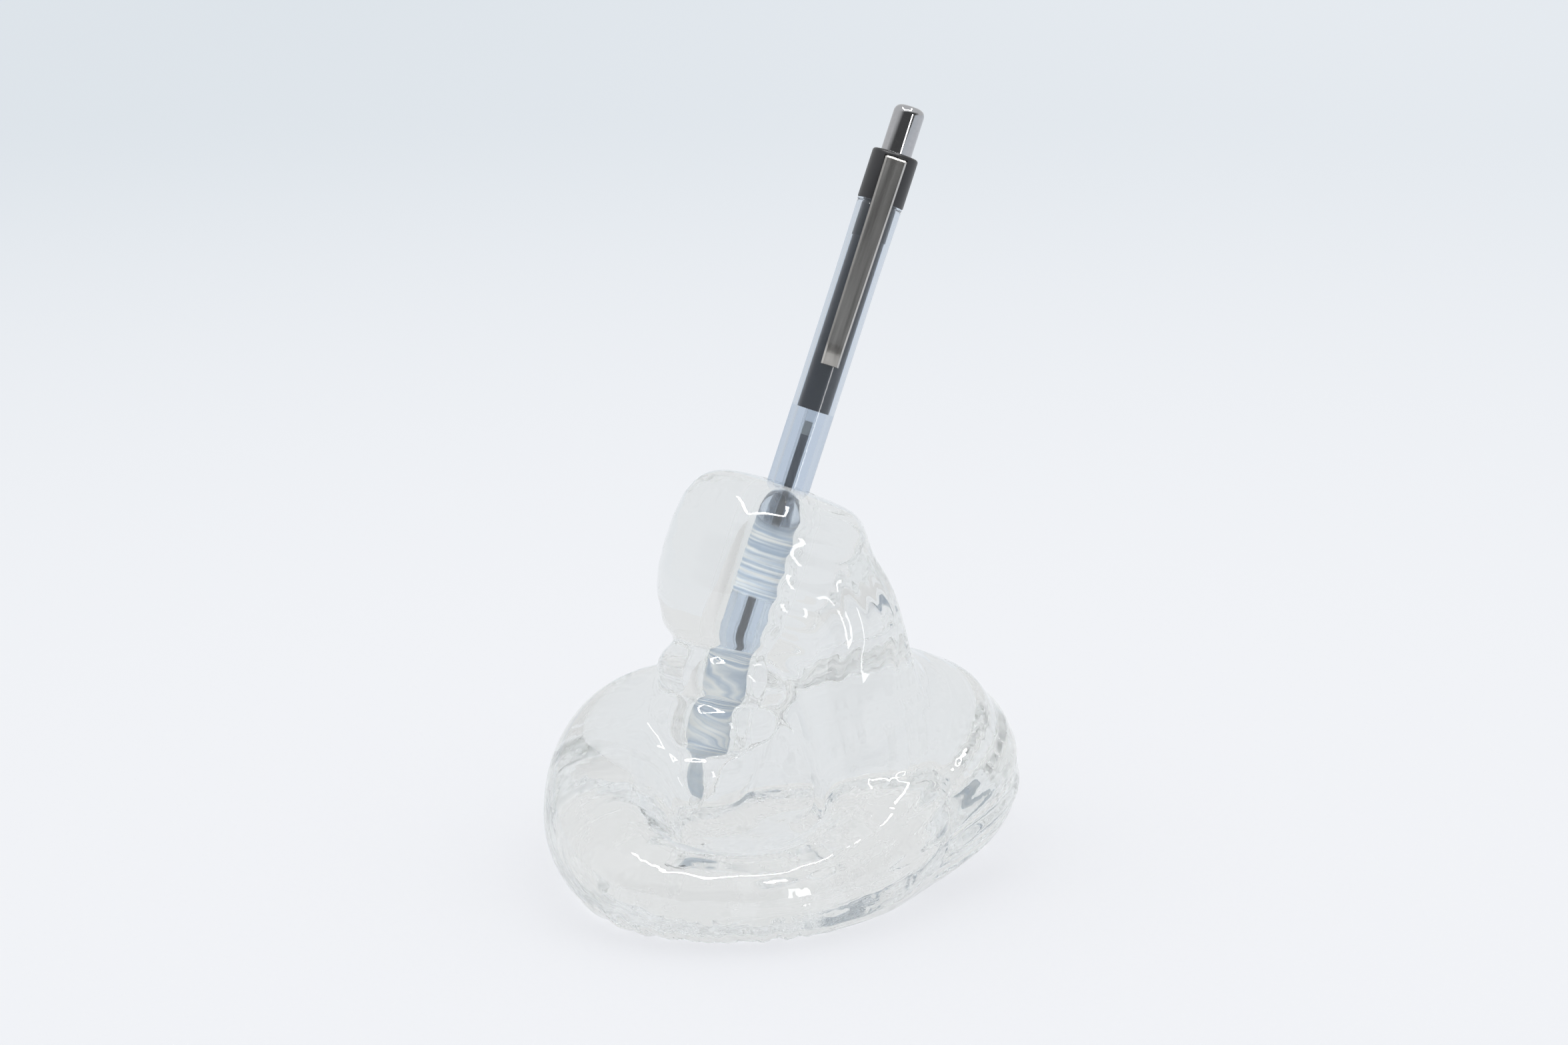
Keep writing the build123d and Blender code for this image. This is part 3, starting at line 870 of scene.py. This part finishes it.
# %% [markdown]
# The glass is clear with a breath of grey-green, a little uneven in colour, with soft cords in it
# that bend the view. Seeds, which are tiny bubbles, left a cloudy haze in the foot. They could be
# modelled one by one, but at this distance a pale second shader is enough, mixed in where it is low
# and cloudy. Index, transmission and the tint of the body are plain numbers.

# %% Clear glass
board, where, shader = glass_board, glass_where, glass_shader
cords = board.noise(where, 60.0, 2.0, (1.0, 1.0, 0.35))
tint = board.blend(cords, (0.978, 0.988, 0.985), (0.992, 0.996, 0.995))
waver = board.noise(where, 70.0, 1.0)
feed(board, shader, Base_Color=tint, Normal=board.bump(waver, 0.02, 0.0005))
clouds = board.noise(where, 95.0, 3.0)
specks = board.noise(where, 260.0, 2.0)
low_down = 1 - board.ease(parts_of(board, where)[2], 8.0 * mm, 26.0 * mm)
haze_cover = 0.01 + 0.16 * low_down * board.ease(0.6 * clouds + 0.4 * specks, 0.50, 0.60)
haze_tone = board.blend(clouds, (0.90, 0.92, 0.92), (0.97, 0.98, 0.98))
haze = board.add("ShaderNodeBsdfPrincipled", None, {"Base Color": haze_tone, "Roughness": 0.5})
layered(board, shader, haze, haze_cover)
tint_body(board, (0.80, 0.865, 0.835), 0.6)
print("glass finish", clear_glass.name)

# %% [markdown]
# The barrel is a clear tube with a faint blue cast. Its wall is thick, so its sides show as pale
# bands where light is trapped in the wall, and the sleeve inside fills the middle. The lower half
# is the grip: fine rings, with one smooth window between two ringed lengths. A bump could feign the
# rings, but they are seen through glass, so the outline has them.

# %% Clear barrel with ringed grip
barrel_length = 116.7
barrel_radius = 4.5
barrel_foot = 4.35
barrel_bore = 3.0
sleeve_bore = 3.6
collar_low = nose_length + barrel_length
collar_length = 10.4
collar_top = collar_low + collar_length
sleeve_low = collar_low - 44.2
lower_grip = (nose_length, 34.5)
upper_grip = (42.0, 56.0)
grip_pitch = 0.9
grip_depth = 0.06
grip_step = 0.15
grip_wall = [(barrel_bore, nose_length), (barrel_foot, nose_length)]
for h in np.arange(nose_length + grip_step, upper_grip[1] + 1, grip_step):
    ringed = lower_grip[0] < h < lower_grip[1] or upper_grip[0] < h < upper_grip[1]
    groove = grip_depth * (0.5 - 0.5 * cos(2 * pi * h / grip_pitch)) if ringed else 0.0
    grip_wall.append((barrel_radius - groove, h))
barrel_outline = grip_wall + softened(
    [
        (barrel_radius, 58.0), (barrel_radius, 112.0), (4.66, collar_low - 1.0),
        (4.52, collar_low - 0.7), (4.7, collar_low - 0.45), (4.7, collar_low),
        (sleeve_bore, collar_low), (sleeve_bore, sleeve_low), (barrel_bore, sleeve_low),
    ],
    {1: 4.0, 2: 0.1, 3: 0.1, 4: 0.1, 5: 0.12},
)
barrel_piece = lathe("barrel_clear", barrel_outline, 128)
print("barrel", len(barrel_piece.data.polygons), "faces")

# %% [markdown]
# The barrel's plastic is clear, and its blue is in the body: light takes it on along its way. The
# ringed lengths are frosted, so a pale rough shader covers them on the outside only. Its streaks lie
# across the pen, like the rings, in the pen's own frame.

# %% Clear plastic and frost
clear_barrel, board, where, shader = new_finish("clear_barrel", IOR=1.5, Transmission_Weight=1.0)
handled = board.noise(where, 700.0, 3.0)
blue = board.blend(handled, (0.89, 0.925, 0.975), (0.91, 0.94, 0.98))
feed(board, shader, Base_Color=blue, Roughness=handled * 0.02)
pen_place = along_pen(board, where)
out_x, out_y, height = parts_of(board, pen_place)
outside = board.ease((out_x * out_x + out_y * out_y) ** 0.5, 4.2 * mm, 4.3 * mm)
in_lower = 1 - board.ease(height, (lower_grip[1] - 0.8) * mm, lower_grip[1] * mm)
in_upper = board.ease(height, upper_grip[0] * mm, (upper_grip[0] + 0.8) * mm)
in_upper = in_upper * (1 - board.ease(height, (upper_grip[1] - 1.5) * mm, upper_grip[1] * mm))
fine_lines = board.noise(pen_place, 55.0, 4.0, (0.6, 0.6, 26.0))
broad_lines = board.noise(pen_place, 40.0, 2.0, (0.5, 0.5, 9.0))
streaks = board.ease(0.6 * fine_lines + 0.4 * broad_lines, 0.40, 0.58)
frost_tone = board.blend(streaks, (0.66, 0.80, 0.98), (0.98, 1.0, 1.0))
frost = board.add("ShaderNodeBsdfPrincipled", None, {"Base Color": frost_tone, "Roughness": 0.5})
layered(board, shader, frost, outside * (in_lower + in_upper) * (0.68 + 0.27 * streaks))
tint_body(board, (0.56, 0.67, 0.79), 150.0)
barrel_piece.data.materials.append(clear_barrel)
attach(barrel_piece, "pen")
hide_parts("barrel")
print("barrel finish", clear_barrel.name)

# %% [markdown]
# The nose is a frosted cone, pale as smoke, with a spigot in the barrel and a seat for the spring.
# It could be joined from cones and tubes, but one closed outline holds the outside, the spigot and
# the seat at once. Flow marks of the mould run round it.

# %% Nose cone
nose_outline = softened(
    [
        (1.3, 0.0), (1.7, 0.0), (4.4, nose_length), (2.97, nose_length), (2.97, 15.0),
        (2.3, 15.0), (2.3, 4.8), (1.3, 4.8),
    ],
    {1: 0.2, 2: 0.15},
)
nose_piece = lathe("nose_cone_smoke", nose_outline)
smoke_plastic, board, where, shader = new_finish(
    "smoke_plastic", IOR=1.5, Transmission_Weight=0.12, Roughness=0.30
)
flow_marks = board.noise(along_pen(board, where), 120.0, 3.0, (0.5, 0.5, 12.0))
feed(board, shader, Base_Color=board.blend(flow_marks, (0.62, 0.76, 0.93), (0.98, 1.0, 1.0)))
nose_piece.data.materials.append(smoke_plastic)
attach(nose_piece, "pen")
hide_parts("nose_cone")
print("nose", len(nose_piece.data.polygons), "faces")

# %% [markdown]
# The refill tube is an extruded length of milky clear plastic. Its top end could be typed in again,
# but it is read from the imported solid, so that the two stay alike.

# %% Refill tube
tube_low = 21.5
tube_bore = 0.9
tube_radius = 1.5
tube_points = rows_of(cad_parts["refill_tube"].data, "co")
tube_rise = (tube_points - np.array(nose_end)) @ np.array(pen_up)
tube_high = float(tube_rise.max()) / mm
tube_outline = [
    (tube_bore, tube_low), (tube_radius, tube_low), (tube_radius, tube_high), (tube_bore, tube_high),
]
tube_piece = lathe("refill_tube_clear", tube_outline, 64)
refill_plastic, board, where, shader = new_finish(
    "refill_plastic", IOR=1.5, Transmission_Weight=0.95, Roughness=0.08
)
milk = board.noise(where, 500.0, 2.0)
feed(board, shader, Base_Color=board.blend(milk, (0.90, 0.92, 0.94), (0.95, 0.96, 0.97)))
tube_piece.data.materials.append(refill_plastic)
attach(tube_piece, "refill")
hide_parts("refill_tube")
print("refill tube", round(tube_high - tube_low, 1), "mm long")

# %% [markdown]
# The collar is moulded black plastic with a soft top edge, and has a slot for the clip's tab. It is
# round but for that slot, so it is turned and the slot is cut with a box. Its finish is a fine grain
# that varies roughness and bump together.

# %% Collar
guide_radius = 3.26
spigot_radius = 3.57
spigot_low = collar_low - 7.7
collar_radius = 4.8
clip_thickness = 0.7
clip_top_width = 4.5
tab_middle = collar_top - 1.4
slot_gap = 0.15
collar_outline = softened(
    [
        (guide_radius, spigot_low), (spigot_radius, spigot_low), (spigot_radius, collar_low),
        (collar_radius, collar_low), (collar_radius, collar_top), (guide_radius, collar_top),
    ],
    {3: 0.18, 4: 0.7, 5: 0.15},
)
collar_work = lathe("collar_work", collar_outline, 128)
slot_reach = (collar_radius - 0.8 - slot_gap, collar_radius + 1.0)
slot_half = clip_top_width / 2 + slot_gap
slot_rise = clip_thickness / 2 + slot_gap
box_points = [
    (x, y, tab_middle + z)
    for x in slot_reach
    for y in (-slot_half, slot_half)
    for z in (-slot_rise, slot_rise)
]
box_faces = [(0, 1, 3, 2), (4, 6, 7, 5), (0, 4, 5, 1), (2, 3, 7, 6), (0, 2, 6, 4), (1, 5, 7, 3)]
slot_box = new_piece("slot_box", box_points, box_faces)
collar_mesh = smoothed(cut_away(collar_work, slot_box, "EXACT"), 35)
collar_piece = shown("collar_moulded", collar_mesh)
black_plastic, board, where, shader = new_finish("black_plastic", IOR=1.5)
grain = board.noise(where, 2600.0, 3.0)
cloud = board.noise(where, 260.0, 2.0)
feed(board, shader, Base_Color=board.blend(cloud, (0.019, 0.019, 0.022), (0.028, 0.028, 0.031)))
feed(board, shader, Roughness=0.30 + 0.12 * grain, Normal=board.bump(grain, 0.12, 0.00005))
collar_mesh.materials.append(black_plastic)
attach(collar_piece, "pen")
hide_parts("collar")
print("collar", len(collar_mesh.polygons), "faces")

# %% [markdown]
# The clip is a strip of spring metal. Its side view is a bent line: a tab that hooks into the
# collar, a long arm, a touch point and a turned-up lip. The line's corners are rounded first, and
# then it is cut into short even steps.

# %% Line of the clip
clip_length = 43.9
clip_end_width = 3.7
clip_end = tab_middle + clip_thickness / 2 - clip_length
clip_arm = collar_radius + 0.2 + clip_thickness / 2
clip_touch = barrel_radius + 0.3 + clip_thickness / 2
clip_line = [
    (collar_radius - 0.8, tab_middle), (clip_arm, tab_middle), (clip_arm, collar_top - 14.0),
    (clip_touch, clip_end + 3.4), (clip_touch + 0.9, clip_end),
]
bent = [clip_line[0]]
for i in range(1, len(clip_line) - 1):
    bend = 0.3 if i == 1 else 1.2
    bent += eased_edge(clip_line[i], clip_line[i - 1], clip_line[i + 1], bend, 6)
bent.append(clip_line[-1])
clip_way = [np.array(bent[0])]
for spot in bent[1:]:
    gap = np.linalg.norm(np.array(spot) - clip_way[-1])
    pieces = max(int(gap / 1.0), 1)
    start = clip_way[-1]
    clip_way += [start + (np.array(spot) - start) * (k + 1) / pieces for k in range(pieces)]
clip_way = np.array(clip_way)
clip_heading = np.gradient(clip_way, axis=0)
clip_heading /= np.linalg.norm(clip_heading, axis=1, keepdims=True)
print("clip line", len(clip_way), "stations")

# %% [markdown]
# A bevelled section is carried along the line, and narrows to the lip. A box with a Bevel modifier
# would round all edges alike, but the strip is bevelled on its outer face only, where the light
# runs down its two edges. The metal is brushed lengthwise.

# %% Pocket clip
bevel = 0.36
bevel_drop = 0.28
half_thick = clip_thickness / 2
clip_points = []
for (reach, height), (dx, dz) in zip(clip_way, clip_heading):
    share = np.clip((collar_top - height) / (collar_top - clip_end), 0, 1)
    half = (clip_top_width + (clip_end_width - clip_top_width) * share) / 2
    out = np.array([-dz, dx])
    section = [
        (-half, -half_thick), (half, -half_thick), (half, half_thick - bevel_drop),
        (half - bevel, half_thick), (0.0, half_thick), (-half + bevel, half_thick),
        (-half, half_thick - bevel_drop),
    ]
    for width, thick in section:
        clip_points.append((reach + out[0] * thick, width, height + out[1] * thick))
ring = len(section)
stations = len(clip_way)
clip_faces = [
    (k * ring + i, k * ring + (i + 1) % ring, (k + 1) * ring + (i + 1) % ring, (k + 1) * ring + i)
    for k in range(stations - 1)
    for i in range(ring)
]
clip_faces.append(list(range(ring - 1, -1, -1)))
clip_faces.append([(stations - 1) * ring + i for i in range(ring)])
clip_piece = new_piece("pocket_clip_sprung", clip_points, clip_faces, sharp=30)
nickel, board, where, shader = new_finish("nickel", Metallic=1.0)
brushed = board.noise(along_pen(board, where), 900.0, 2.0, (1.0, 1.0, 0.06))
feed(board, shader, Base_Color=board.blend(brushed, (0.48, 0.47, 0.455), (0.62, 0.605, 0.585)))
feed(board, shader, Roughness=0.16 + 0.14 * brushed, Normal=board.bump(brushed, 0.10, 0.00004))
clip_piece.data.materials.append(nickel)
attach(clip_piece, "clip")
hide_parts("pocket_clip")
print("clip", len(clip_piece.data.polygons), "faces")

# %% [markdown]
# The button is a cap drawn from thin bright metal, with a rounded crown and a hollow for the plunger.
# It is turned from its outline, with soft corners, because polished edges catch light. Wear from
# thumbs makes its shine a little uneven. A function makes this finish from one cloudy pattern, and
# the pieces that follow use it too.


# %% Push button
def plain_finish(name, dark, light, scale, rough, spread, detail=3.0, metallic=0.0, depth=0.05):
    """Finish whose colour, roughness and bump follow one cloudy pattern."""
    material, board, where, shader = new_finish(name, Metallic=metallic)
    mottle = board.noise(where, scale, detail)
    tone = board.blend(mottle, dark, light)
    feed(board, shader, Base_Color=tone, Roughness=rough + spread * mottle)
    if depth:
        feed(board, shader, Normal=board.bump(mottle, depth, 0.00004))
    return material


button_top = collar_top + 9.9
button_low = spigot_low + 6.6
button_outline = softened(
    [
        (0.0, button_top - 0.5), (2.7, button_top - 0.5), (2.7, button_low), (3.2, button_low),
        (3.2, button_top - 1.2), (2.8, button_top - 0.4), (2.0, button_top), (0.0, button_top),
    ],
    {3: 0.1, 4: 0.4, 5: 0.4, 6: 0.35},
)
button_piece = lathe("push_button_bright", button_outline, 128)
bright_chrome = plain_finish(
    "bright_chrome", (0.43, 0.43, 0.445), (0.52, 0.52, 0.535), 1500.0, 0.05, 0.06,
    metallic=1.0, depth=0.0,
)
button_piece.data.materials.append(bright_chrome)
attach(button_piece, "button")
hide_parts("push_button")
print("button", len(button_piece.data.polygons), "faces")

# %% [markdown]
# The return spring is a wound wire between the nose's seat and the refill's flange. It is the same
# helix as the glass turns, with one radius.

# %% Return spring
spring_wire = plain_finish(
    "spring_wire", (0.48, 0.48, 0.49), (0.62, 0.62, 0.63), 1800.0, 0.16, 0.12,
    detail=2.0, metallic=1.0, depth=0.0,
)
spring_seat = 4.8
flange_low = 20.0
wire = 0.4
spring_gap = 0.05
spring_turns = 6.0
spring_radius = 1.55 * mm
spring_low = spring_seat + wire / 2 + spring_gap
spring_high = flange_low - wire / 2 - spring_gap
spring_values = {
    "Turns": spring_turns, "Steps per turn": 32,
    "Rise per turn": (spring_high - spring_low) / spring_turns * mm,
    "Start height": spring_low * mm, "Foot radius": spring_radius, "Top radius": spring_radius,
    "Flare": 1.0, "Rope radius": wire / 2 * mm, "Sides": 10, "Finish": spring_wire,
}
spring_seed = bpy.data.meshes.new("spring_seed")
spring_mesh = baked("return_spring_wound", spring_seed, coil_tree, coil_keys, spring_values)
spring_mesh.transform(lean)
spring_piece = shown("return_spring_wound", spring_mesh)
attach(spring_piece, "pen")
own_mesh(spring_piece)
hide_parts("return_spring")
print("spring", len(spring_mesh.polygons), "faces")

# %% [markdown]
# The small pieces inside the pen are hardly seen: mouldings, ink, grease, a turned point, its ball.
# They could be modelled anew, but their solids already have the right form, so they keep them and
# only get the finish of what they are made of.

# %% Finishes of the inner pieces
inner_finishes = {
    "cam_sleeve": plain_finish(
        "dark_sleeve", (0.030, 0.031, 0.036), (0.044, 0.045, 0.050), 1200.0, 0.26, 0.12, depth=0.01
    ),
    "button_plunger": plain_finish(
        "white_moulding", (0.76, 0.77, 0.78), (0.82, 0.83, 0.84), 900.0, 0.38, 0.12
    ),
    "ink_column": plain_finish(
        "black_ink", (0.010, 0.010, 0.013), (0.020, 0.020, 0.024), 700.0, 0.16, 0.10
    ),
    "ink_follower": plain_finish(
        "follower_grease", (0.48, 0.47, 0.42), (0.58, 0.57, 0.52), 800.0, 0.20, 0.12
    ),
    "writing_point": plain_finish(
        "point_metal", (0.52, 0.50, 0.46), (0.64, 0.62, 0.58), 1500.0, 0.16, 0.10, metallic=1.0
    ),
    "writing_ball": plain_finish(
        "ball_metal", (0.55, 0.55, 0.56), (0.66, 0.66, 0.67), 2500.0, 0.10, 0.08, metallic=1.0
    ),
}
inner_finishes["index_rotor"] = inner_finishes["button_plunger"]
inner_finishes["tip_holder"] = smoke_plastic
for name, material in inner_finishes.items():
    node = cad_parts[name]
    node.data.materials.clear()
    node.data.materials.append(material)
print(len(inner_finishes), "inner pieces dressed")
